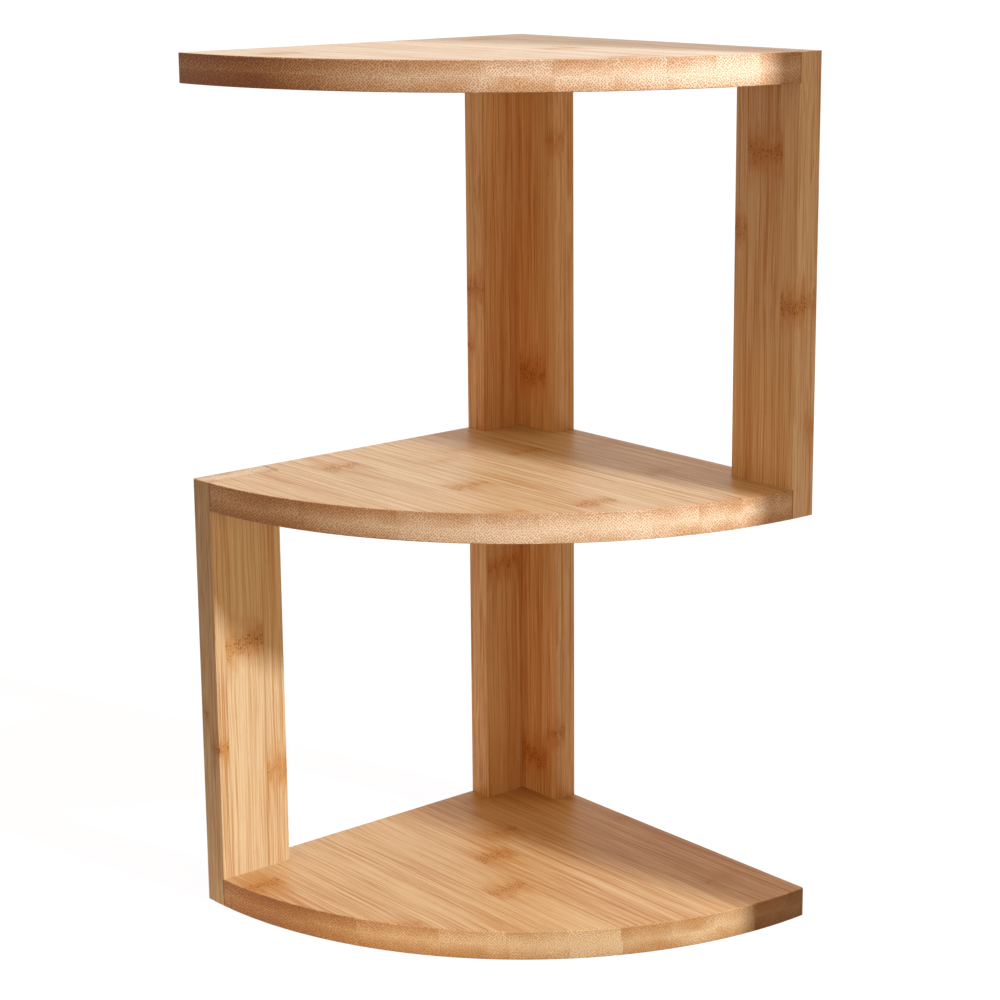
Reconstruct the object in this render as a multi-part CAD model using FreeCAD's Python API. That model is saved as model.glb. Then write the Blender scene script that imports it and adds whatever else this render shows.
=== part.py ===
import FreeCAD, Part
import math
import os

# Three-tier quarter-round corner shelf of laminated bamboo, in millimetres.
# Z is up and Z = 0 is the underside. The room corner that the shelf stands in is at X minimum
# and Y maximum: the left wall is the plane of X minimum, the back wall the plane of Y maximum.
# The origin is the middle of the bounding box at its foot.

# Decks
shelf_radius = 200.0
shelf_thickness = 13.5
clear_height = 180.0
free_corner_round = 1.5
edge_ease = 0.4

# Side boards, let into notches at the ends of the decks
board_thickness = 13.0
side_board_width = 38.5
notch_end_clearance = 0.3

# Corner posts, two boards at right angles in the room corner
post_back_leg = 39.0
post_left_leg = 36.5

# Dowels in the ends of the post boards
dowel_diameter = 6.0
dowel_chamfer = 0.6
dowel_shelf_depth = 8.0
dowel_post_depth = 16.0
dowel_radial_clearance = 0.05
dowel_end_clearance = 1.0
dowel_flute_count = 10
dowel_flute_radius = 0.35

# Countersunk wood screws through the side boards into the decks
screw_length = 30.0
screw_thread_diameter = 3.5
screw_core_diameter = 2.4
screw_neck_diameter = 2.6
screw_neck_length = 8.0
screw_thread_pitch = 1.6
screw_tip_length = 4.0
screw_head_diameter = 7.0
screw_head_rim = 0.4
screw_head_sink = 0.3
screw_edge_distance = 10.0
screw_hole_clearance = 0.1
screw_head_clearance = 0.15
screw_tip_clearance = 0.5
recess_width = 1.0
recess_span = 3.8
recess_depth = 1.7

# Length by which cutting tools run past a face
overrun = 5.0

# Worked-out places
corner_x = -shelf_radius / 2
corner_y = shelf_radius / 2
level_pitch = shelf_thickness + clear_height
bottom_level = 0.0
middle_level = bottom_level + level_pitch
top_level = middle_level + level_pitch

UP = FreeCAD.Vector(0, 0, 1)
RIGHT = FreeCAD.Vector(1, 0, 0)
FORWARD = FreeCAD.Vector(0, -1, 0)


def corner_box(along_back, along_left, low, size):
    """Box whose near corner lies along_back from the left wall and along_left from the back wall."""
    start = FreeCAD.Vector(corner_x + along_back, corner_y - along_left - size[1], low)
    return Part.makeBox(size[0], size[1], size[2], start)


def quarter_prism(low, height):
    """Quarter disc about the room corner, standing from low upwards."""
    centre = FreeCAD.Vector(corner_x, corner_y, low)
    prism = Part.makeCylinder(shelf_radius, height, centre, UP, 90)
    prism.rotate(centre, UP, -90)
    return prism


def is_upright(edge):
    ends = [vertex.Point for vertex in edge.Vertexes]
    return len(ends) == 2 and ends[0].sub(ends[1]).cross(UP).Length < edge_ease / 10


def upright_edges(solid):
    return [edge for edge in solid.Edges if is_upright(edge)]


def rim_edges(solid):
    return [edge for edge in solid.Edges if not is_upright(edge)]


def eased_deck(low, height):
    """Quarter disc with rounded upright corners and eased rims."""
    deck = quarter_prism(low, height)
    deck = deck.makeFillet(free_corner_round, upright_edges(deck))
    rims = [edge for edge in deck.Edges if edge.BoundBox.ZLength < edge_ease / 10]
    return deck.makeFillet(edge_ease, rims)


def left_notch(low):
    depth = side_board_width + notch_end_clearance
    size = (board_thickness + overrun, depth + overrun, shelf_thickness + 2 * overrun)
    return corner_box(-overrun, shelf_radius - depth, low - overrun, size)


def right_notch(low):
    depth = side_board_width + notch_end_clearance
    size = (depth + overrun, board_thickness + overrun, shelf_thickness + 2 * overrun)
    return corner_box(shelf_radius - depth, -overrun, low - overrun, size)


# Side boards are screwed at two heights, one in each deck that they join.
# A screw is placed by the middle of its head's face and by the way that it points.

def screw_offsets():
    """Distances from the room corner, along a wall, of the two screws of one joint."""
    outer = shelf_radius - screw_edge_distance
    inner = shelf_radius - side_board_width + screw_edge_distance
    return {"outer": outer, "inner": inner}


def screw_places():
    """Every screw by name: its head's face and its direction."""
    places = {}
    for level_name, low in (("bottom", bottom_level), ("middle", middle_level)):
        for end_name, offset in screw_offsets().items():
            head = FreeCAD.Vector(corner_x, corner_y - offset, low + shelf_thickness / 2)
            places["left_board_screw_" + level_name + "_" + end_name] = (head, RIGHT)
    for level_name, low in (("middle", middle_level), ("top", top_level)):
        for end_name, offset in screw_offsets().items():
            head = FreeCAD.Vector(corner_x + offset, corner_y, low + shelf_thickness / 2)
            places["right_board_screw_" + level_name + "_" + end_name] = (head, FORWARD)
    return places


def along(start, direction, distance):
    return start.add(FreeCAD.Vector(direction).multiply(distance))


def screw_hole(head, direction):
    """Room for one screw: the countersink and the hole, with its clearances."""
    head_radius = screw_head_diameter / 2 + screw_head_clearance
    hole_radius = screw_thread_diameter / 2 + screw_hole_clearance
    mouth = Part.makeCylinder(
        head_radius,
        overrun + screw_head_sink + screw_head_rim,
        along(head, direction, -overrun),
        direction,
    )
    cone = Part.makeCone(
        head_radius,
        hole_radius,
        head_radius - hole_radius,
        along(head, direction, screw_head_sink + screw_head_rim),
        direction,
    )
    depth = screw_head_sink + screw_length + screw_tip_clearance
    shaft = Part.makeCylinder(hole_radius, depth, head, direction)
    return mouth.fuse([cone, shaft])


def screw_holes():
    holes = [screw_hole(head, direction) for head, direction in screw_places().values()]
    return Part.makeCompound(holes)


def screw_profile():
    """Half section of a screw, head at zero, as points of distance along and radius."""
    head_radius = screw_head_diameter / 2
    neck_radius = screw_neck_diameter / 2
    core_radius = screw_core_diameter / 2
    thread_radius = screw_thread_diameter / 2
    points = [(0, 0), (0, head_radius), (screw_head_rim, head_radius)]
    cone_end = screw_head_rim + head_radius - neck_radius
    thread_start = cone_end + screw_neck_length
    tip_start = screw_length - screw_tip_length
    points += [(cone_end, neck_radius), (thread_start, neck_radius)]
    turns = int((tip_start - thread_start) / screw_thread_pitch)
    for turn in range(turns):
        root = thread_start + turn * screw_thread_pitch
        points.append((root + screw_thread_pitch / 4, core_radius))
        points.append((root + screw_thread_pitch / 2, thread_radius))
        points.append((root + screw_thread_pitch * 3 / 4, core_radius))
    points += [(tip_start, core_radius), (screw_length, 0)]
    return points


def cross_recess():
    """Crossed driver slots in the head, narrowing to a point."""
    half_width = recess_width / 2
    slot_points = [
        (-recess_span / 2, -overrun),
        (recess_span / 2, -overrun),
        (recess_span / 2, 0),
        (half_width, recess_depth),
        (-half_width, recess_depth),
        (-recess_span / 2, 0),
    ]
    corners = [FreeCAD.Vector(across, -half_width, deep) for across, deep in slot_points]
    wire = Part.makePolygon(corners + corners[:1])
    slot = Part.Face(wire).extrude(FreeCAD.Vector(0, recess_width, 0))
    crossing = slot.copy()
    crossing.rotate(FreeCAD.Vector(0, 0, 0), UP, 90)
    return slot.fuse(crossing)


def screw(head, direction):
    section = [FreeCAD.Vector(radius, 0, deep) for deep, radius in screw_profile()]
    face = Part.Face(Part.makePolygon(section + section[:1]))
    solid = face.revolve(FreeCAD.Vector(0, 0, 0), UP, 360)
    solid = solid.cut(cross_recess())
    turn = FreeCAD.Rotation(UP, direction)
    solid.Placement = FreeCAD.Placement(along(head, direction, screw_head_sink), turn)
    return solid


# Dowels stand on the middle lines of the post boards' ends.

def dowel_axes():
    """Distances from the left wall and from the back wall of the two dowel lines."""
    half_board = board_thickness / 2
    short_leg_middle = (board_thickness + post_left_leg) / 2
    return {"back": (post_back_leg / 2, half_board), "left": (half_board, short_leg_middle)}


def dowel_spans():
    """Foot and head height of the dowels at each level."""
    bottom_top = bottom_level + shelf_thickness
    middle_top = middle_level + shelf_thickness
    return {
        "bottom": (bottom_top - dowel_shelf_depth, bottom_top + dowel_post_depth),
        "middle": (middle_level - dowel_post_depth, middle_top + dowel_post_depth),
        "top": (top_level - dowel_post_depth, top_level + dowel_shelf_depth),
    }


def dowel_places():
    """Every dowel by name: its foot and its length."""
    places = {}
    for level_name, (low, high) in dowel_spans().items():
        for leg_name, (along_back, along_left) in dowel_axes().items():
            foot = FreeCAD.Vector(corner_x + along_back, corner_y - along_left, low)
            places[level_name + "_dowel_" + leg_name] = (foot, high - low)
    return places


def dowel(foot, length):
    """Dowel with chamfered ends and straight glue flutes."""
    radius = dowel_diameter / 2
    body = Part.makeCylinder(radius, length, foot, UP)
    ends = [edge for edge in body.Edges if not is_upright(edge)]
    body = body.makeChamfer(dowel_chamfer, ends)
    flutes = []
    for number in range(dowel_flute_count):
        angle = 2 * math.pi * number / dowel_flute_count
        rim = FreeCAD.Vector(radius * math.cos(angle), radius * math.sin(angle), -overrun)
        flutes.append(Part.makeCylinder(dowel_flute_radius, length + 2 * overrun, foot.add(rim), UP))
    return body.cut(flutes)


def dowel_holes():
    """Room for every dowel, with a glue gap past each end."""
    radius = dowel_diameter / 2 + dowel_radial_clearance
    holes = []
    for foot, length in dowel_places().values():
        start = foot.sub(FreeCAD.Vector(0, 0, dowel_end_clearance))
        holes.append(Part.makeCylinder(radius, length + 2 * dowel_end_clearance, start, UP))
    return Part.makeCompound(holes)


def shelf(low, notches):
    solid = eased_deck(low, shelf_thickness)
    for notch in notches:
        solid = solid.cut(notch)
    return solid.cut(dowel_holes()).cut(screw_holes())


def side_board(block, low, height):
    """Upright board cut to the decks' outline, its long edges eased and its ends eased with the decks."""
    board = quarter_prism(low, height).common(block)
    board = board.makeFillet(edge_ease, upright_edges(board))
    outline = quarter_prism(low, height)
    outline = outline.makeFillet(edge_ease, rim_edges(outline))
    return board.common(outline).cut(screw_holes())


def left_side_board():
    height = level_pitch + shelf_thickness
    start = shelf_radius - side_board_width
    size = (board_thickness, side_board_width + overrun, height)
    return side_board(corner_box(0, start, bottom_level, size), bottom_level, height)


def right_side_board():
    height = level_pitch + shelf_thickness
    start = shelf_radius - side_board_width
    size = (side_board_width + overrun, board_thickness, height)
    return side_board(corner_box(start, 0, middle_level, size), middle_level, height)


def post_board(along_left, width, depth, low):
    """One board of a corner post, standing on a deck, its long edges eased."""
    board = corner_box(0, along_left, low, (width, depth, clear_height))
    board = board.makeFillet(edge_ease, upright_edges(board))
    return board.cut(dowel_holes())


def post_back_board(low):
    return post_board(0, post_back_leg, board_thickness, low)


def post_left_board(low):
    return post_board(board_thickness, board_thickness, post_left_leg - board_thickness, low)


def all_parts():
    lower_post_foot = bottom_level + shelf_thickness
    upper_post_foot = middle_level + shelf_thickness
    parts = {
        "bottom_shelf": shelf(bottom_level, [left_notch(bottom_level)]),
        "middle_shelf": shelf(middle_level, [left_notch(middle_level), right_notch(middle_level)]),
        "top_shelf": shelf(top_level, [right_notch(top_level)]),
        "left_side_board": left_side_board(),
        "right_side_board": right_side_board(),
        "lower_post_back_board": post_back_board(lower_post_foot),
        "lower_post_left_board": post_left_board(lower_post_foot),
        "upper_post_back_board": post_back_board(upper_post_foot),
        "upper_post_left_board": post_left_board(upper_post_foot),
    }
    for name, (foot, length) in dowel_places().items():
        parts[name] = dowel(foot, length)
    for name, (head, direction) in screw_places().items():
        parts[name] = screw(head, direction)
    return parts


os.makedirs("parts", exist_ok=True)
for name, shape in all_parts().items():
    if shape.ShapeType == "Compound" and len(shape.Solids) == 1:
        shape = shape.Solids[0]
    print(name, shape.ShapeType, len(shape.Solids), "solid, valid", shape.isValid(), round(shape.Volume, 1))
    shape.exportStep("parts/" + name + ".step")
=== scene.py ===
import math
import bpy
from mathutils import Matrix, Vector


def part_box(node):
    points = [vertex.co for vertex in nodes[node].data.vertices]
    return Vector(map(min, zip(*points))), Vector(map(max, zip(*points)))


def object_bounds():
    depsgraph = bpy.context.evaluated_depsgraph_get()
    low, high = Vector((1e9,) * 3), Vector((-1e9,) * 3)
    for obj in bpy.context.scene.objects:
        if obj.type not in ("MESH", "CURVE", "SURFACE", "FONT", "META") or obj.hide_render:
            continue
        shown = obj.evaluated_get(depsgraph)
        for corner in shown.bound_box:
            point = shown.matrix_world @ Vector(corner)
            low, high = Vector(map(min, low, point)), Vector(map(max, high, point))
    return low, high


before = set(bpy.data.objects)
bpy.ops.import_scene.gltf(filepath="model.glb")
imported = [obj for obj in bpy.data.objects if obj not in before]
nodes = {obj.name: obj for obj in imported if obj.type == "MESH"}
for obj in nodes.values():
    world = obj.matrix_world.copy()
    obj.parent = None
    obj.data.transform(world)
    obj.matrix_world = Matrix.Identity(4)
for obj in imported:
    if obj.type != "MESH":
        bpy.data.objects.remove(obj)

from types import SimpleNamespace

import bpy
from mathutils import Matrix, Vector

cad_low, cad_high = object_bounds()

MM = 0.001

# Camera, as fitted to the outlines in the photograph: degrees, metres, and pixels of its 1000 px frame
view_azimuth = 50.036
view_elevation = 12.875
view_roll = 0.491
camera_place = Vector((0.8130, -0.6809, 0.4643))
focal_pixels = 2400.0
centre_row = 450.0
frame_pixels = 1000.0
sensor_width = 36.0

# Light: a key from the right and slightly behind, with a card that shades the strip along the back
# wall; the white backdrop's glow; the room's warm light from above; weak low fills from the front
# and from the right, where a second lamp lights the left board alone; and the bounce of the surface
# that the shelf stands on, beside and behind it. Places and sizes are in metres, powers in watts.
key_place = (1.68, 0.42, 1.13)
key_radius = 0.09
key_power = 236.0
key_colour = (0.84, 0.92, 1.0)
floor_key_strength = 4.0
white = (1.0, 1.0, 1.0)
white_strength = 1.0
backdrop_strength = 0.80
backdrop_towards = (-0.76, 0.64, 0.10)
backdrop_colour = (0.8, 0.8, 0.8)
room_strength = 1.15
room_towards = (0.0, 0.0, 1.0)
room_colour = (1.0, 0.66, 0.30)
lobe_power = 1.5
front_power = 2.6
front_size = 0.6
front_place = (0.1, -1.3, 0.25)
front_colour = (1.0, 0.66, 0.34)
side_power = 1.6
side_size = 0.5
side_place = (1.3, -0.1, 0.15)
side_colour = (1.0, 0.66, 0.36)
board_power = 9.3
board_colour = (0.97, 0.68, 0.34)
bounce_strength = 1.05
bounce_colour = (1.0, 0.80, 0.58)
bounce_side_reach = 0.85
bounce_front_reach = 0.10
bounce_back_reach = 0.60
bounce_fade = 0.30
bounce_hole_place = (0.16, 0.05, 0.0)
bounce_hole_radius = 0.22
bounce_hole_core_share = 0.4
card_gap = 0.11
card_shade_low = 0.0122
card_shade_high = 0.0047
card_width = 1.5
card_height = 0.8
floor_reach = 30.0
floor_drop = 0.2 * MM
floor_shade_colour = (0.10, 0.10, 0.10)
floor_glow_colour = (0.925, 0.935, 0.955)

# Display curve, by which colours are given as 0 to 255 values: a straight part, then a power
display_top = 255
straight_limit = 0.04045
straight_slope = 12.92
curve_offset = 0.055
curve_power = 2.4

# Shader nodes: a mix node's colour sockets, the middle of a noise's 0 to 1 values, and how rough a
# noise is unless its table says otherwise
mix_first_input = 6
mix_second_input = 7
mix_output = 2
noise_middle = 0.5
usual_roughness = 0.5

# Bamboo laminate, in mm: strips, plies, the grid of the fibre bundles, and how far each strip's
# fibres are slid and turned by chance. The scatter runs from 0 for a straight grid to 1.
strip_pitch = 21.1
hidden_ply_shift = 0.8
ply_thickness = 6.75
bundle_pitch_across = 1.30
bundle_pitch_through = 1.05
bundle_slide_share = 0.8
bundle_scatter = 0.5
random_slide = 900.0
random_turn = 60.0
pale_line_shift = 300.0

# Noises of the laminate: length along the fibres and width across them in mm, detail and roughness
streaks = {
    "ragged": (8.0, 2.2, 2.0, 0.5),
    "clumps": (6.0, 3.6, 1.0, 0.5),
    "wander": (60.0, 12.0, 1.0, 0.5),
    "knot": (5.0, 5.0, 1.0, 0.5),
    "hair": (30.0, 0.36, 2.0, 0.6),
    "fibre": (110.0, 0.62, 1.5, 0.5),
    "band": (180.0, 3.4, 2.0, 0.5),
    "drift": (45.0, 14.0, 1.0, 0.5),
    "fleck": (5.0, 0.40, 1.0, 0.5),
    "dark_line": (160.0, 1.3, 2.0, 0.55),
    "pale_line": (130.0, 1.6, 2.0, 0.55),
    "grit": (1.3, 0.75, 2.0, 0.6),
}

# How far the noises swing a value, from end to end: mm for places and distances, else shares
ragged_swing = 6.0
wander_swing = 3.0
knot_swing = 3.0
tongue_swings = {"fibre": 40.0, "hair": 28.0, "clumps": 12.0}
speck_swings = {"clumps": 16.0}
face_middle = 0.42
face_swings = {"tone": 0.30, "hair": 1.0, "crisp": 0.66, "band": 0.50, "drift": 0.45}
end_middle = 0.40
end_swings = {"outward": 0.55, "tone": 0.55, "drift": 1.0, "band": 0.4}

# Steps, each from the first value to the second: squareness of a cut, distance from a culm mark or
# a line in mm, value of a noise, or depth of a colour. Where there are four, two are the results.
cut_across_step = (0.004, 0.012)
slanting_step = (0.75, 0.0)
near_mark_step = (9.0, 1.0)
tongue_step = (15.0, -2.0)
speck_line_step = (6.0, 1.0)
grit_step = (0.53, 0.60)
crisp_step = (0.40, 0.60)
thin_line_step = (0.05, 0.0)
honey_step = (0.05, 0.62)
amber_step = (0.55, 1.05)
uneven_step = (0.36, 0.62, 0.35, 1.0)
fleck_step = (0.64, 0.76, 0.0, 0.38)
tan_step = (0.0, 1.0)
umber_step = (0.8, 1.7)
strip_line_step = (0.26, 0.06)
ply_line_step = (0.22, 0.06)
seam_step = (1.0, 1.0 / 3)

# Bundles on end grain: the dots' size in their grid, how it grows, how soft they are, and how much
# darker they get with the painted shade on a slanting cut
dot_size = 0.42
dot_slant_growth = 0.12
dot_outward_growth = 0.12
dot_softness = 0.22
dot_painted_shade_share = 0.25

# Strength of what is drawn over the colour, and how much of it is lost where the fibres are cut across
pale_line_share = 0.7
speck_share = 0.95
mark_loss_share = 0.85
strip_line_share = 0.34
ply_line_share = 0.24
glue_loss_share = 0.5
seam_share = 0.8

# What a piece has unless it says otherwise
usual_line_strength = 0.6
usual_dot_strength = 0.55
# Painted shade on a cut that slants along the fibres, as at an arc's end that turns from the light
usual_painted_slant_shade = 0.5
usual_glow_strength = 0.80

# Bamboo's surface: roughness, gloss, and the relief that each part of the pattern makes
bamboo_roughness = 0.36
fibre_roughness = 0.14
speck_roughness = 0.15
bamboo_gloss = 0.28
hair_relief = 0.4
fibre_relief = 0.4
dot_relief = -0.6
speck_relief = -0.7
glue_relief = -0.8
bamboo_bump = (0.35, 0.10 * MM)

# Distances in mm for a place with no culm mark near and for a mark on another strip
no_mark = 1000.0
other_strip = 500.0

# Dowels and screws: each noise's size along and across in mm, with its detail; steps as above; and
# each bump's strength and depth
dowel_grain = (14.0, 0.5, 3.0)
dowel_rings = (60.0, 1.8, 2.0)
dowel_ring_step = (0.35, 0.7)
dowel_grain_step = (0.5, 0.75, 0.0, 0.5)
dowel_roughness = 0.6
dowel_grain_roughness = 0.2
dowel_bump = (0.4, 0.1 * MM)
steel_patches = (2.2, 2.2, 3.0)
steel_scratches = (0.15, 3.0, 2.0)
steel_patch_step = (0.3, 0.7)
steel_scratch_step = (0.55, 0.8, 0.0, 0.4)
steel_roughness_step = (0.3, 0.8, 0.28, 0.5)
steel_bump = (0.2, 0.05 * MM)


def linear(red, green, blue):
    """Colour given as 0 to 255 display values."""
    parts = []
    for part in (red, green, blue):
        share = part / display_top
        if share <= straight_limit:
            parts.append(share / straight_slope)
        else:
            parts.append(((share + curve_offset) / (1 + curve_offset)) ** curve_power)
    return (*parts, 1.0)


def tinted(colour, tint):
    """A linear colour with each part multiplied, kept at or under 1."""
    parts = [min(part * factor, 1.0) for part, factor in zip(colour, tint)]
    return (*parts, 1.0)


# Along the grain: pale, honey and amber, then the culm marks' flame and brown, and the glue
face_colours = (
    linear(229, 205, 168),
    linear(211, 175, 130),
    linear(189, 133, 74),
    linear(192, 127, 36),
    linear(144, 78, 25),
    linear(150, 104, 64),
)
# Across the grain: cream, tan, umber and the brown of the fibre bundles
end_colours = (
    linear(238, 214, 182),
    linear(206, 164, 118),
    linear(168, 120, 80),
    linear(138, 78, 34),
)
# Dowels: ground, rings and grain. Screws: bright, dull and scratched steel.
dowel_colours = (linear(232, 205, 160), linear(206, 170, 118), linear(172, 130, 82))
steel_colours = (linear(206, 203, 192), linear(176, 172, 158), linear(136, 132, 120))


class Graph:
    """Short names for the shader nodes that the materials are made of."""

    def __init__(self, tree):
        self.tree = tree

    def node(self, kind, **settings):
        made = self.tree.nodes.new(kind)
        for name, value in settings.items():
            setattr(made, name, value)
        return made

    def feed(self, socket, value):
        if isinstance(value, bpy.types.NodeSocket):
            self.tree.links.new(value, socket)
        else:
            socket.default_value = value

    def math(self, operation, *values):
        made = self.node("ShaderNodeMath", operation=operation)
        for socket, value in zip(made.inputs, values):
            self.feed(socket, value)
        return made.outputs[0]

    def product(self, *values):
        result = values[0]
        for value in values[1:]:
            result = self.math("MULTIPLY", result, value)
        return result

    def total(self, *values):
        result = values[0]
        for value in values[1:]:
            result = self.math("ADD", result, value)
        return result

    def apart(self, first, second):
        """Distance between two numbers."""
        return self.math("ABSOLUTE", self.math("SUBTRACT", first, second))

    def ramp(self, value, start, end, low=0.0, high=1.0):
        """Smooth step from low at start to high at end."""
        made = self.node("ShaderNodeMapRange", interpolation_type="SMOOTHSTEP")
        names = ("Value", "From Min", "From Max", "To Min", "To Max")
        for name, given in zip(names, (value, start, end, low, high)):
            self.feed(made.inputs[name], given)
        return made.outputs["Result"]

    def blend(self, share, first, second):
        made = self.node("ShaderNodeMix", data_type="RGBA", blend_type="MIX")
        self.feed(made.inputs["Factor"], share)
        self.feed(made.inputs[mix_first_input], first)
        self.feed(made.inputs[mix_second_input], second)
        return made.outputs[mix_output]

    def vector(self, x, y, z):
        made = self.node("ShaderNodeCombineXYZ")
        for socket, value in zip(made.inputs, (x, y, z)):
            self.feed(socket, value)
        return made.outputs[0]

    def split(self, vector):
        made = self.node("ShaderNodeSeparateXYZ")
        self.feed(made.inputs[0], vector)
        return made.outputs[:]

    def noise(self, vector, detail, roughness=usual_roughness):
        made = self.node("ShaderNodeTexNoise", noise_dimensions="3D")
        self.feed(made.inputs["Vector"], vector)
        made.inputs["Scale"].default_value = 1.0
        made.inputs["Detail"].default_value = detail
        made.inputs["Roughness"].default_value = roughness
        return made.outputs["Fac"]

    def cells(self, vector, randomness):
        """Distance to the nearest cell centre, in a plane."""
        made = self.node("ShaderNodeTexVoronoi", voronoi_dimensions="2D", feature="F1")
        self.feed(made.inputs["Vector"], vector)
        made.inputs["Scale"].default_value = 1.0
        made.inputs["Randomness"].default_value = randomness
        return made.outputs["Distance"]

    def random(self, vector):
        """Three random numbers for each whole-number vector."""
        made = self.node("ShaderNodeTexWhiteNoise", noise_dimensions="3D")
        self.feed(made.inputs["Vector"], vector)
        return self.split(made.outputs["Color"])

    def bump(self, shader, height, strength, depth):
        """Relief of the given depth in metres."""
        made = self.node("ShaderNodeBump")
        made.inputs["Strength"].default_value = strength
        made.inputs["Distance"].default_value = depth
        self.feed(made.inputs["Height"], height)
        self.feed(shader.inputs["Normal"], made.outputs[0])


def new_material(name):
    material = bpy.data.materials.new(name)
    material.use_nodes = True
    material.node_tree.nodes.clear()
    graph = Graph(material.node_tree)
    shader = graph.node("ShaderNodeBsdfPrincipled")
    output = graph.node("ShaderNodeOutputMaterial")
    graph.feed(output.inputs["Surface"], shader.outputs[0])
    return material, graph, shader


def grain_coordinates(graph, axes):
    """Place in millimetres, as along the grain, across the strips and through the plies."""
    place = graph.node("ShaderNodeTexCoord").outputs["Object"]
    scaled = graph.node("ShaderNodeVectorMath", operation="SCALE")
    graph.feed(scaled.inputs[0], place)
    scaled.inputs["Scale"].default_value = 1 / MM
    parts = dict(zip("xyz", graph.split(scaled.outputs[0])))
    return [parts[axis] for axis in axes]


def cut_squareness(graph, axes):
    """1 where the surface cuts straight across the fibres, 0 where it lies along them."""
    normal = graph.node("ShaderNodeNewGeometry").outputs["Normal"]
    parts = dict(zip("xyz", graph.split(normal)))
    return graph.math("ABSOLUTE", parts[axes[0]])


def streak(graph, name, along, across, through):
    """One of the laminate's noises, stretched along the fibres, at a place in mm."""
    length, width, detail, roughness = streaks[name]
    place = graph.vector(
        graph.math("DIVIDE", along, length),
        graph.math("DIVIDE", across, width),
        graph.math("DIVIDE", through, width),
    )
    return graph.noise(place, detail, roughness)


def swing(graph, value, amount):
    """A 0 to 1 value turned into one that swings round zero."""
    return graph.product(graph.math("SUBTRACT", value, noise_middle), amount)


def swung(graph, start, fibres, swings):
    """A value with the swings added of the noises that a table names."""
    return graph.total(start, *(swing(graph, getattr(fibres, name), swings[name]) for name in swings))


def thin_line(graph, noise):
    """1 on the thin winding lines where a noise crosses its middle value, 0 elsewhere."""
    return graph.ramp(graph.apart(noise, noise_middle), *thin_line_step)


def laminate(graph, axes, edge, ply_middle, shown_ply, seed):
    """Where the surface lies in the laminate: places in mm, strip, ply, and how the fibres are cut."""
    along, across, through = grain_coordinates(graph, axes)
    square = cut_squareness(graph, axes)
    ply = graph.apart(graph.math("GREATER_THAN", through, ply_middle), shown_ply)
    shifted = graph.math("SUBTRACT", across, graph.total(edge, graph.product(ply, hidden_ply_shift)))
    in_strips = graph.math("DIVIDE", shifted, strip_pitch)
    strip = graph.math("FLOOR", in_strips)
    chance, slide, turn = graph.random(graph.vector(strip, ply, seed))
    return SimpleNamespace(
        along=along,
        across=across,
        through=through,
        off_middle=graph.apart(through, ply_middle),
        ply=ply,
        strip=strip,
        in_strip=graph.math("SUBTRACT", in_strips, strip),
        chance=chance,
        slid=graph.total(along, graph.product(slide, random_slide)),
        turned=graph.total(through, graph.product(turn, random_turn)),
        cut_across=graph.ramp(square, *cut_across_step),
        slanting=graph.ramp(square, *slanting_step),
    )


def mark_distance(graph, spot, marks):
    """Distance along the grain from the nearest culm mark of the same strip, larger for a faint one."""
    ragged = streak(graph, "ragged", spot.along, spot.across, spot.through)
    bowed = graph.total(spot.along, swing(graph, ragged, ragged_swing))
    nearest = no_mark
    for place, strip_number, ply_number, faintness in marks:
        strips_off = graph.total(graph.apart(spot.strip, strip_number), graph.apart(spot.ply, ply_number))
        elsewhere = graph.product(strips_off, other_strip)
        distance = graph.total(graph.apart(bowed, place), elsewhere, faintness)
        nearest = graph.math("MINIMUM", nearest, distance)
    return nearest


def strip_tone(graph, spot, tones):
    """How deep the strip's colour is: by chance, and by a table of strip, ply and amount."""
    tone = spot.chance
    for strip_number, ply_number, amount in tones:
        off = graph.total(graph.apart(spot.strip, strip_number), graph.apart(spot.ply, ply_number))
        here = graph.math("MAXIMUM", graph.math("SUBTRACT", 1.0, off), 0.0)
        tone = graph.total(tone, graph.product(here, amount))
    return tone


def fibre_streaks(graph, spot, mark, tones):
    """Streaks of several lengths and widths, a little bent, and more so at a culm mark."""
    wander = streak(graph, "wander", spot.slid, spot.across, spot.through)
    knot = streak(graph, "knot", spot.along, spot.across, spot.through)
    knotted = graph.product(graph.ramp(mark, *near_mark_step), swing(graph, knot, knot_swing))
    bent = graph.total(spot.across, swing(graph, wander, wander_swing), knotted)
    fibre = streak(graph, "fibre", spot.slid, bent, spot.turned)
    dark_noise = streak(graph, "dark_line", spot.slid, bent, spot.turned)
    pale_noise = streak(graph, "pale_line", spot.slid, graph.total(bent, pale_line_shift), spot.turned)
    return SimpleNamespace(
        tone=strip_tone(graph, spot, tones),
        outward=graph.math("DIVIDE", spot.off_middle, ply_thickness),
        bent=bent,
        hair=streak(graph, "hair", spot.slid, bent, spot.turned),
        fibre=fibre,
        crisp=graph.ramp(fibre, *crisp_step),
        band=streak(graph, "band", spot.slid, bent, spot.turned),
        drift=streak(graph, "drift", spot.slid, spot.across, spot.turned),
        fleck=streak(graph, "fleck", spot.slid, bent, spot.turned),
        clumps=streak(graph, "clumps", spot.along, spot.across, spot.through),
        dark_line=thin_line(graph, dark_noise),
        pale_line=thin_line(graph, pale_noise),
    )


def bundle_dots(graph, spot, fibres):
    """Bundles as they show on end grain: dots in a slightly irregular slanting grid, larger towards
    the outside of a ply and on a slanting cut."""
    sliding = graph.total(fibres.bent, graph.product(spot.along, bundle_slide_share))
    row = graph.math("DIVIDE", sliding, bundle_pitch_across * math.sqrt(2))
    column = graph.math("DIVIDE", spot.turned, bundle_pitch_through * math.sqrt(2))
    place = graph.vector(graph.total(row, column), graph.math("SUBTRACT", row, column), 0.0)
    rim = graph.total(
        dot_size,
        graph.product(spot.slanting, dot_slant_growth),
        swing(graph, fibres.outward, dot_outward_growth),
    )
    return graph.ramp(graph.cells(place, bundle_scatter), rim, graph.math("SUBTRACT", rim, dot_softness))


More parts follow.
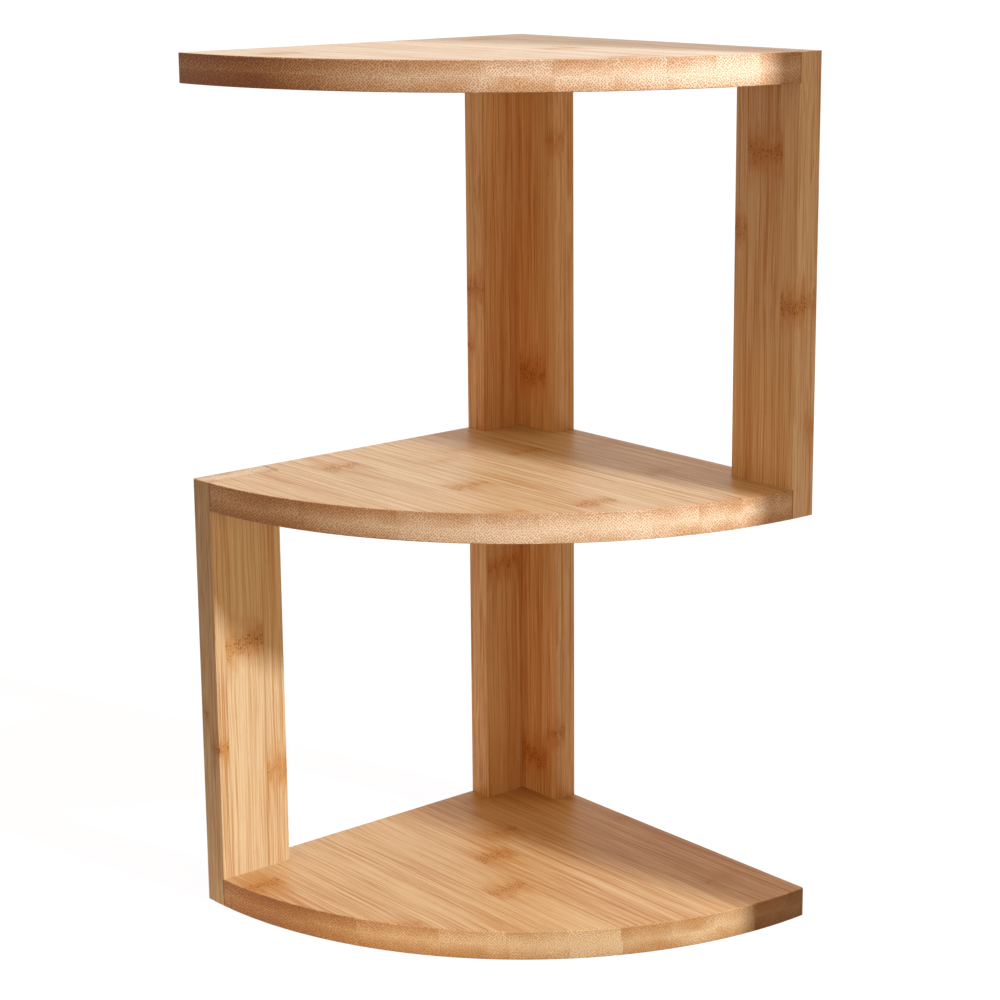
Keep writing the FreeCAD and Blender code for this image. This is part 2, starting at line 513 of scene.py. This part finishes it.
def face_colour(graph, fibres, colours, line_strength):
    """Colour along the grain: pale to honey to amber, with thin dark and pale lines and flecks."""
    pale, honey, amber = colours
    depth = swung(graph, face_middle, fibres, face_swings)
    colour = graph.blend(graph.ramp(depth, *honey_step), pale, honey)
    colour = graph.blend(graph.ramp(depth, *amber_step), colour, amber)
    uneven = graph.ramp(fibres.band, *uneven_step)
    colour = graph.blend(graph.product(fibres.dark_line, uneven, line_strength), colour, amber)
    colour = graph.blend(graph.product(fibres.pale_line, pale_line_share), colour, pale)
    return graph.blend(graph.ramp(fibres.fleck, *fleck_step), colour, amber)


def end_colour(graph, spot, fibres, dots, colours, dot_strength, painted_slant_shade):
    """Colour across the grain: cream to tan to umber, with brown bundles, and painted shade where the cut
    slants along the fibres, as at an arc's end that turns from the light.
    """
    cream, tan, umber, bundle_brown = colours
    # Painted shade that deepens as the cut slants along the fibres
    slant = graph.product(spot.slanting, painted_slant_shade)
    depth = graph.total(swung(graph, end_middle, fibres, end_swings), slant)
    ground = graph.blend(graph.ramp(depth, *tan_step), cream, tan)
    ground = graph.blend(graph.ramp(depth, *umber_step), ground, umber)
    shown = graph.product(dots, graph.total(dot_strength, graph.product(slant, dot_painted_shade_share)))
    return graph.blend(shown, ground, bundle_brown)


def along_only(graph, spot, loss_share):
    """1 on a surface along the fibres, less by the given share where they are cut across."""
    return graph.math("SUBTRACT", 1.0, graph.product(spot.cut_across, loss_share))


def mark_tongues(graph, spot, fibres, mark):
    """1 on the tongues that run out from a culm mark along the grain, fading to 0."""
    reach = swung(graph, mark, fibres, tongue_swings)
    return graph.product(graph.ramp(reach, *tongue_step), along_only(graph, spot, mark_loss_share))


def mark_specks(graph, spot, fibres, mark):
    """1 on the specks in the narrow ragged line of a culm mark, 0 elsewhere."""
    grit = streak(graph, "grit", spot.along, spot.across, spot.through)
    line = graph.ramp(swung(graph, mark, fibres, speck_swings), *speck_line_step)
    return graph.product(line, graph.ramp(grit, *grit_step), along_only(graph, spot, mark_loss_share))


def glue_lines(graph, spot):
    """How strongly the glue lines between strips and plies show."""
    side = graph.math("MINIMUM", spot.in_strip, graph.math("SUBTRACT", 1.0, spot.in_strip))
    strip_line = graph.ramp(graph.product(side, strip_pitch), *strip_line_step)
    ply_line = graph.ramp(spot.off_middle, *ply_line_step)
    shown_strip_line = graph.product(strip_line, strip_line_share)
    shown_ply_line = graph.product(ply_line, ply_line_share)
    both = graph.math("MAXIMUM", shown_strip_line, shown_ply_line)
    return graph.product(both, along_only(graph, spot, glue_loss_share))


def seam_shade(graph, spot, seam):
    """1 on the thin joint line where the board stands in a deck's notch, darkened as painted shade, 0
    elsewhere.
    """
    below, above, across_place, through_place = seam
    is_below = graph.math("LESS_THAN", spot.along, below)
    is_above = graph.math("GREATER_THAN", spot.along, above)
    short_side = graph.ramp(graph.apart(spot.across, across_place), *seam_step)
    long_side = graph.ramp(graph.apart(spot.through, through_place), *seam_step)
    long_side = graph.product(long_side, graph.math("SUBTRACT", 1.0, spot.cut_across))
    in_deck = graph.math("MAXIMUM", is_below, is_above)
    return graph.product(in_deck, graph.math("MAXIMUM", short_side, long_side))


def bamboo(
    name,
    axes,
    edge,
    ply_middle,
    shown_ply,
    seed,
    marks,
    tint,
    end_tint=None,
    line_strength=usual_line_strength,
    dot_strength=usual_dot_strength,
    painted_slant_shade=usual_painted_slant_shade,
    glow_strength=usual_glow_strength,
    tones=(),
    seam=None,
):
    """Laminated bamboo.

    axes: row axes along the grain, across the strips and through the plies.
    edge: where one strip boundary of the shown ply lies, in mm. ply_middle: where the glue line is.
    shown_ply: 1 if the shown face is the higher one of the third axis, otherwise 0.
    marks: culm marks as place, strip, ply (0 is the shown one) and faintness.
    tint: what the colours are multiplied by, and end_tint those of the end grain.
    line_strength: how dark the long thin lines are. dot_strength: how dark the bundles are.
    The slant depth is painted shade on a cut that slants along the fibres, deepest where an arc turns
    from the light. glow_strength: how strong the golden tongues of the culm marks are. tones: strips that
    are deeper or paler than usual.
    seam: where a deck's notch leaves a joint line on the board, darkened as painted shade.
    """
    *grain_colours, flame, mark_brown, glue = (tinted(colour, tint) for colour in face_colours)
    cut_colours = [tinted(colour, end_tint or tint) for colour in end_colours]
    material, graph, shader = new_material(name)
    spot = laminate(graph, axes, edge, ply_middle, shown_ply, seed)
    mark = mark_distance(graph, spot, marks)
    fibres = fibre_streaks(graph, spot, mark, tones)
    dots = bundle_dots(graph, spot, fibres)
    tongues = mark_tongues(graph, spot, fibres, mark)
    specks = mark_specks(graph, spot, fibres, mark)
    lines = glue_lines(graph, spot)

    face = face_colour(graph, fibres, grain_colours, line_strength)
    end = end_colour(graph, spot, fibres, dots, cut_colours, dot_strength, painted_slant_shade)
    colour = graph.blend(spot.cut_across, face, end)
    colour = graph.blend(graph.product(tongues, glow_strength), colour, flame)
    colour = graph.blend(graph.product(specks, speck_share), colour, mark_brown)
    colour = graph.blend(lines, colour, glue)
    if seam:
        # Painted shade along the joint where the board meets the deck
        joint = seam_shade(graph, spot, seam)
        colour = graph.blend(graph.product(joint, seam_share), colour, mark_brown)
    graph.feed(shader.inputs["Base Color"], colour)

    roughness = graph.total(
        bamboo_roughness,
        graph.product(fibres.fibre, fibre_roughness),
        graph.product(specks, speck_roughness),
    )
    graph.feed(shader.inputs["Roughness"], roughness)
    shader.inputs["Specular IOR Level"].default_value = bamboo_gloss
    relief = graph.total(
        graph.product(fibres.hair, hair_relief),
        graph.product(fibres.fibre, fibre_relief),
        graph.product(dots, spot.cut_across, dot_relief),
        graph.product(specks, speck_relief),
        graph.product(lines, glue_relief),
    )
    graph.bump(shader, relief, *bamboo_bump)
    return material


def plane_noise(graph, place, size_along, size_across, detail):
    """Noise of the given sizes in mm along and across, and of 1 mm through the material."""
    along, across, through = place
    stretched = graph.vector(
        graph.math("DIVIDE", along, size_along), graph.math("DIVIDE", across, size_across), through
    )
    return graph.noise(stretched, detail)


def dowel_wood():
    """Pale straight-grained hardwood, upright."""
    material, graph, shader = new_material("dowel_wood")
    place = grain_coordinates(graph, "zxy")
    grain = plane_noise(graph, place, *dowel_grain)
    rings = plane_noise(graph, place, *dowel_rings)
    ground, ring, grain_colour = dowel_colours
    colour = graph.blend(graph.ramp(rings, *dowel_ring_step), ground, ring)
    colour = graph.blend(graph.ramp(grain, *dowel_grain_step), colour, grain_colour)
    graph.feed(shader.inputs["Base Color"], colour)
    roughness = graph.total(dowel_roughness, graph.product(grain, dowel_grain_roughness))
    graph.feed(shader.inputs["Roughness"], roughness)
    graph.bump(shader, grain, *dowel_bump)
    return material


def zinc_steel():
    """Zinc-plated screw steel with faint turning marks and dull patches."""
    material, graph, shader = new_material("screw_steel")
    place = grain_coordinates(graph, "xyz")
    patches = plane_noise(graph, place, *steel_patches)
    scratches = plane_noise(graph, place, *steel_scratches)
    bright, dull, scratched = steel_colours
    colour = graph.blend(graph.ramp(patches, *steel_patch_step), bright, dull)
    colour = graph.blend(graph.ramp(scratches, *steel_scratch_step), colour, scratched)
    graph.feed(shader.inputs["Base Color"], colour)
    shader.inputs["Metallic"].default_value = 1.0
    graph.feed(shader.inputs["Roughness"], graph.ramp(patches, *steel_roughness_step))
    graph.bump(shader, scratches, *steel_bump)
    return material


# Where the strips and the culm marks lie, as the photograph shows them, in mm. A mark is its place
# along the grain, its strip, its ply (0 is the one that shows) and how faint it is. Decks count
# places from the left wall and strips from the back wall; upright boards count heights.
left_wall = cad_low.x / MM
right_end = cad_high.x / MM
back_wall = cad_high.y / MM
front_end = cad_low.y / MM
strong, plain, faint = 0.0, 2.6, 4.6

# The first strip boundary: from the back wall on a deck and on a post's left board, from the left
# wall on a post's back board, from the front end on the left side board, and from the right end on
# the right one
bottom_boundary = 10.15
middle_boundary = 19.6
top_boundary = 14.3
post_left_boundary = 35.6
post_back_boundary = 11.4
left_board_boundary = 5.9
right_board_boundary = 31.0

top_marks = [(40, 8, 0, plain), (104, 3, 0, faint), (170, 4, 0, plain), (22, 2, 0, faint)]
middle_marks = [
    (96, 5, 0, strong),
    (27, 6, 0, strong),
    (157, 4, 0, strong),
    (134, 1, 0, plain),
    (61, 2, 0, plain),
    (49, 4, 0, faint),
    (37, 3, 0, faint),
    (74, 0, 0, faint),
    (146, 6, 0, faint),
]
bottom_marks = [
    (74, 4, 0, strong),
    (110, 5, 0, strong),
    (30, 9, 0, strong),
    (112, 8, 0, plain),
    (54, 3, 0, plain),
    (166, 1, 0, faint),
    (80, 0, 0, faint),
    (12, 2, 0, faint),
]
left_board_marks = [(127.5, 0, 0, strong), (78, -1, 0, plain), (62, 1, 0, plain), (94, -1, 1, faint)]
right_board_marks = [
    (356, 0, 0, strong),
    (321, -1, 0, plain),
    (289.5, 1, 0, strong),
    (234, 1, 1, faint),
    (291, 1, 1, faint),
]
lower_post_back_marks = [(33, 0, 0, strong), (48, 1, 0, plain)]
lower_post_left_marks = [(136.5, 0, 0, plain)]
upper_post_back_marks = [(235, 0, 0, strong), (351, 1, 0, faint)]
upper_post_left_marks = [(278, -1, 0, plain), (278, -1, 1, plain), (249, -1, 1, faint)]

# Strips of the decks that are deeper or paler than usual, as strip, ply and amount
top_tones = [(7, 0, 0.6), (7, 1, 0.6), (6, 0, -0.4), (6, 1, 0.2), (2, 0, -0.4), (3, 1, -0.3)]
middle_tones = [
    (1, 0, 0.2),
    (1, 1, -0.2),
    (2, 0, 0.3),
    (2, 1, 0.5),
    (3, 0, 0.2),
    (3, 1, 0.4),
    (5, 0, 0.4),
    (6, 1, -0.8),
    (7, 0, -0.1),
    (7, 1, -0.3),
    (8, 0, 0.2),
    (9, 0, -0.4),
    (9, 1, 0.5),
]
# The bottom deck's first strips, whose arc end lies in shade by the right corner, are deepened partly as
# painted shade
bottom_tones = [
    (0, 0, 1.0),
    (0, 1, 1.1),
    (1, 0, 0.7),
    (1, 1, 0.7),
    (2, 0, 0.4),
    (2, 1, 0.8),
    (3, 0, 0.2),
    (3, 1, 0.6),
    (4, 0, 0.5),
    (4, 1, 0.4),
    (6, 0, -0.3),
    (7, 0, -0.4),
    (8, 0, -0.4),
    (9, 0, 0.3),
]

# What each piece's colours are multiplied by, and how its pattern differs from the usual. The tints are
# partly the pieces' own tones and partly painted light: the decks grow paler upwards, the top deck's
# pale blue cast is a painted sheen of the white backdrop, and the right board, which stands all in
# shade, is lightened as painted light. The left board is darker to offset the lamp that lights it alone.
top_tint_with_painted_sheen = (0.96, 1.08, 1.40)
middle_tint = (0.85, 0.83, 0.83)
bottom_tint = (0.79, 0.69, 0.58)
left_board_tint = (0.625, 0.605, 0.585)
right_board_tint_with_painted_light = (1.03, 0.95, 0.96)
lower_post_tint = (0.98, 0.83, 0.70)
upper_post_tint = (1.03, 0.84, 0.68)
# The top deck's arc gets the deepest painted shade at its end that turns from the light, the middle one's
# the least
top_finish = {"end_tint": (0.90, 0.845, 0.86), "painted_slant_shade": 1.1, "dot_strength": 0.62}
middle_finish = {
    "end_tint": (0.87, 0.82, 0.81),
    "painted_slant_shade": 0.3,
    "line_strength": 0.75,
    "glow_strength": 0.55,
}
bottom_finish = {
    "end_tint": (0.85, 0.73, 0.57),
    "line_strength": 0.9,
    "dot_strength": 0.44,
    "glow_strength": 0.60,
}
left_board_finish = {"end_tint": (0.84, 0.83, 0.83), "glow_strength": 0.76}

# Bamboo pieces, in the order of their seeds, and which ply of a board shows
bamboo_nodes = (
    "bottom_shelf",
    "middle_shelf",
    "top_shelf",
    "left_side_board",
    "right_side_board",
    "lower_post_back_board",
    "lower_post_left_board",
    "upper_post_back_board",
    "upper_post_left_board",
)
first_seed = 1
lower_ply, higher_ply = 0, 1

# Joint lines: below and above which heights, and the board's hidden edge and inner face
_, bottom_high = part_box("bottom_shelf")
middle_low, middle_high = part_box("middle_shelf")
top_low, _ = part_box("top_shelf")
_, left_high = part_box("left_side_board")
right_low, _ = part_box("right_side_board")
left_seam = (bottom_high.z / MM, middle_low.z / MM, left_high.y / MM, left_high.x / MM)
right_seam = (middle_high.z / MM, top_low.z / MM, right_low.x / MM, right_low.y / MM)


def middle_of(node, axis):
    low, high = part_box(node)
    place = "xyz".index(axis)
    return (low[place] + high[place]) / 2 / MM


def dress(node, material):
    """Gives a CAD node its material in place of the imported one."""
    slots = nodes[node].data.materials
    slots.clear()
    slots.append(material)


def dress_bamboo(node, axes, edge, shown_ply, tint, marks, **finish):
    """Gives a board its own bamboo, with the glue line between the plies at its middle."""
    ply_middle = middle_of(node, axes[2])
    seed = first_seed + bamboo_nodes.index(node)
    dress(node, bamboo("bamboo_" + node, axes, edge, ply_middle, shown_ply, seed, marks, tint, **finish))


def dress_deck(node, boundary, tint, marks, tones, finish):
    """Bamboo with the grain along the back wall, its places and strips counted from the walls."""
    placed_marks = [(left_wall + place, -strip, ply, how) for place, strip, ply, how in marks]
    placed_tones = [(-strip, ply, amount) for strip, ply, amount in tones]
    edge = back_wall - boundary
    dress_bamboo(node, "xyz", edge, higher_ply, tint, placed_marks, tones=placed_tones, **finish)


def dress_post(level, tint, back_marks, left_marks):
    """Bamboo for the two boards of a corner post."""
    back_edge = left_wall + post_back_boundary
    left_edge = back_wall - post_left_boundary
    dress_bamboo(level + "_post_back_board", "zxy", back_edge, lower_ply, tint, back_marks)
    dress_bamboo(level + "_post_left_board", "zyx", left_edge, higher_ply, tint, left_marks)


def dress_side_boards():
    """Bamboo for the upright boards at the left front corner and at the right corner."""
    left_edge = front_end + left_board_boundary
    right_edge = right_end - right_board_boundary
    dress_bamboo(
        "left_side_board",
        "zyx",
        left_edge,
        higher_ply,
        left_board_tint,
        left_board_marks,
        seam=left_seam,
        **left_board_finish,
    )
    dress_bamboo(
        "right_side_board",
        "zxy",
        right_edge,
        lower_ply,
        right_board_tint_with_painted_light,
        right_board_marks,
        seam=right_seam,
    )


dress_deck("bottom_shelf", bottom_boundary, bottom_tint, bottom_marks, bottom_tones, bottom_finish)
dress_deck("middle_shelf", middle_boundary, middle_tint, middle_marks, middle_tones, middle_finish)
dress_deck("top_shelf", top_boundary, top_tint_with_painted_sheen, top_marks, top_tones, top_finish)
dress_side_boards()
dress_post("lower", lower_post_tint, lower_post_back_marks, lower_post_left_marks)
dress_post("upper", upper_post_tint, upper_post_back_marks, upper_post_left_marks)
wood = dowel_wood()
steel = zinc_steel()
for node in nodes:
    if "dowel" in node:
        dress(node, wood)
    if "screw" in node:
        dress(node, steel)


def seen_directly(graph):
    """1 for what the camera, a reflection or a see-through surface shows, 0 for light on things."""
    path = graph.node("ShaderNodeLightPath").outputs
    seen = graph.math("MAXIMUM", path["Is Camera Ray"], path["Is Glossy Ray"])
    return graph.math("MAXIMUM", seen, path["Is Transmission Ray"])


def lobe(graph, direction, towards):
    """1 towards one direction, falling smoothly to 0 at right angles to it."""
    dot = graph.node("ShaderNodeVectorMath", operation="DOT_PRODUCT")
    graph.feed(dot.inputs[0], direction)
    dot.inputs[1].default_value = Vector(towards).normalized()
    return graph.math("POWER", graph.math("MAXIMUM", dot.outputs["Value"], 0.0), lobe_power)


def sky_glow(graph, direction, towards, strength, colour):
    """Light of the world that comes from round one direction."""
    glow = graph.node("ShaderNodeBackground")
    glow.inputs["Color"].default_value = (*colour, 1.0)
    graph.feed(glow.inputs["Strength"], graph.product(lobe(graph, direction, towards), strength))
    return glow


def make_world():
    """The backdrop's glow and the room's light from above; white to the camera and in reflections."""
    world = bpy.data.worlds.new("studio")
    bpy.context.scene.world = world
    world.use_nodes = True
    world.node_tree.nodes.clear()
    graph = Graph(world.node_tree)
    direction = graph.node("ShaderNodeTexCoord").outputs["Generated"]
    glow = sky_glow(graph, direction, backdrop_towards, backdrop_strength, backdrop_colour)
    room = sky_glow(graph, direction, room_towards, room_strength, room_colour)
    both = graph.node("ShaderNodeAddShader")
    graph.feed(both.inputs[0], glow.outputs[0])
    graph.feed(both.inputs[1], room.outputs[0])
    backdrop = graph.node("ShaderNodeBackground")
    backdrop.inputs["Color"].default_value = (*white, 1.0)
    backdrop.inputs["Strength"].default_value = white_strength
    choice = graph.node("ShaderNodeMixShader")
    graph.feed(choice.inputs[0], seen_directly(graph))
    graph.feed(choice.inputs[1], both.outputs[0])
    graph.feed(choice.inputs[2], backdrop.outputs[0])
    output = graph.node("ShaderNodeOutputWorld")
    graph.feed(output.inputs["Surface"], choice.outputs[0])


def floor_bounce(graph):
    """Strength of the floor's bounce: beside and behind the shelf, and none close round its foot."""
    place = graph.node("ShaderNodeTexCoord").outputs["Object"]
    x, y, _ = graph.split(place)
    away = graph.node("ShaderNodeVectorMath", operation="DISTANCE")
    graph.feed(away.inputs[0], place)
    away.inputs[1].default_value = bounce_hole_place
    hole_core = bounce_hole_core_share * bounce_hole_radius
    outside_hole = graph.ramp(away.outputs["Value"], hole_core, bounce_hole_radius)
    beside = graph.ramp(graph.math("ABSOLUTE", x), bounce_side_reach + bounce_fade, bounce_side_reach)
    in_front = graph.ramp(y, -bounce_front_reach - bounce_fade, -bounce_front_reach)
    behind = graph.ramp(y, bounce_back_reach + bounce_fade, bounce_back_reach)
    return graph.product(beside, in_front, behind, outside_hole, bounce_strength)


def floor_material():
    """White to the camera, with the shelf's faint shadow; to the shelf, a warm bounce."""
    material = bpy.data.materials.new("studio_floor")
    material.use_nodes = True
    material.node_tree.nodes.clear()
    graph = Graph(material.node_tree)
    bounce = graph.node("ShaderNodeEmission")
    bounce.inputs["Color"].default_value = (*bounce_colour, 1.0)
    graph.feed(bounce.inputs["Strength"], floor_bounce(graph))
    shaded = graph.node("ShaderNodeBsdfDiffuse")
    shaded.inputs["Color"].default_value = (*floor_shade_colour, 1.0)
    glow = graph.node("ShaderNodeEmission")
    glow.inputs["Color"].default_value = (*floor_glow_colour, 1.0)
    shown = graph.node("ShaderNodeAddShader")
    graph.feed(shown.inputs[0], shaded.outputs[0])
    graph.feed(shown.inputs[1], glow.outputs[0])
    choice = graph.node("ShaderNodeMixShader")
    graph.feed(choice.inputs[0], seen_directly(graph))
    graph.feed(choice.inputs[1], bounce.outputs[0])
    graph.feed(choice.inputs[2], shown.outputs[0])
    output = graph.node("ShaderNodeOutputMaterial")
    graph.feed(output.inputs["Surface"], choice.outputs[0])
    return material


def add_mesh(name, corners, material):
    """One flat face through the given corners."""
    mesh = bpy.data.meshes.new(name)
    mesh.from_pydata(corners, [], [list(range(len(corners)))])
    mesh.materials.append(material)
    piece = bpy.data.objects.new(name, mesh)
    bpy.context.scene.collection.objects.link(piece)
    return piece


floor_corners = [
    (-floor_reach, -floor_reach, -floor_drop),
    (floor_reach, -floor_reach, -floor_drop),
    (floor_reach, floor_reach, -floor_drop),
    (-floor_reach, floor_reach, -floor_drop),
]
floor = add_mesh("floor", floor_corners, floor_material())

make_world()


def linked_objects(name, state, objects):
    """A collection that a lamp's light or shadows are limited to, or that is left out of them."""
    chosen = bpy.data.collections.new(name)
    for piece in objects:
        chosen.objects.link(piece)
    for entry in chosen.collection_objects:
        entry.light_linking.link_state = state
    return chosen


def add_lamp(name, kind, place, energy, colour):
    """A lamp that points at the foot of the shelf."""
    light = bpy.data.lights.new(name, kind)
    light.energy = energy
    light.color = colour
    lamp = bpy.data.objects.new(name, light)
    lamp.location = place
    lamp.rotation_mode = "QUATERNION"
    lamp.rotation_quaternion = Vector(place).to_track_quat("Z", "Y")
    bpy.context.scene.collection.objects.link(lamp)
    return lamp


# The card keeps the key off the strip along the back wall. Only its shadow on the shelf is seen.
card_x = cad_high.x + card_gap
card_low = cad_high.y - card_shade_low
card_high = cad_high.y - card_shade_high
card_rise = card_height / cad_high.z
card_top_edge = card_low + (card_high - card_low) * card_rise
card_corners = [
    (card_x, card_low, 0.0),
    (card_x, card_low + card_width, 0.0),
    (card_x, card_low + card_width, card_height),
    (card_x, card_top_edge, card_height),
]
card = add_mesh("card", card_corners, bpy.data.materials["studio_floor"])
card.visible_camera = False
card.visible_diffuse = False
card.visible_glossy = False
card.visible_transmission = False

floor_only = linked_objects("floor_only", "INCLUDE", [floor])
all_but_floor = linked_objects("all_but_floor", "EXCLUDE", [floor])
all_but_card = linked_objects("all_but_card", "EXCLUDE", [card])
board_only = linked_objects("board_only", "INCLUDE", [nodes["left_side_board"]])
shelf_key = add_lamp("key", "POINT", key_place, key_power, key_colour)
shelf_key.data.shadow_soft_size = key_radius
shelf_key.light_linking.receiver_collection = all_but_floor
floor_key = add_lamp("floor_key", "SUN", key_place, floor_key_strength, white)
floor_key.data.angle = 2 * math.atan(key_radius / Vector(key_place).length)
floor_key.light_linking.receiver_collection = floor_only
floor_key.light_linking.blocker_collection = all_but_card
front_fill = add_lamp("front_fill", "AREA", front_place, front_power, front_colour)
front_fill.data.size = front_size
side_fill = add_lamp("side_fill", "AREA", side_place, side_power, side_colour)
side_fill.data.size = side_size
board_fill = add_lamp("board_fill", "AREA", side_place, board_power, board_colour)
board_fill.data.size = side_size
board_fill.light_linking.receiver_collection = board_only

# Camera
azimuth, elevation, roll = (math.radians(angle) for angle in (view_azimuth, view_elevation, view_roll))
forward = Vector(
    (
        -math.sin(azimuth) * math.cos(elevation),
        math.cos(azimuth) * math.cos(elevation),
        -math.sin(elevation),
    )
)
level_right = Vector((math.cos(azimuth), math.sin(azimuth), 0.0))
level_down = forward.cross(level_right)
right = level_right * math.cos(roll) + level_down * math.sin(roll)
down = level_down * math.cos(roll) - level_right * math.sin(roll)
turned = Matrix((right, -down, -forward)).transposed().to_4x4()
lens = bpy.data.cameras.new("camera")
lens.sensor_width = sensor_width
lens.lens = sensor_width * focal_pixels / frame_pixels
lens.shift_y = (centre_row - frame_pixels / 2) / frame_pixels
camera = bpy.data.objects.new("camera", lens)
camera.matrix_world = Matrix.Translation(camera_place) @ turned
bpy.context.scene.collection.objects.link(camera)
bpy.context.scene.camera = camera
bpy.context.scene.view_settings.view_transform = "Standard"
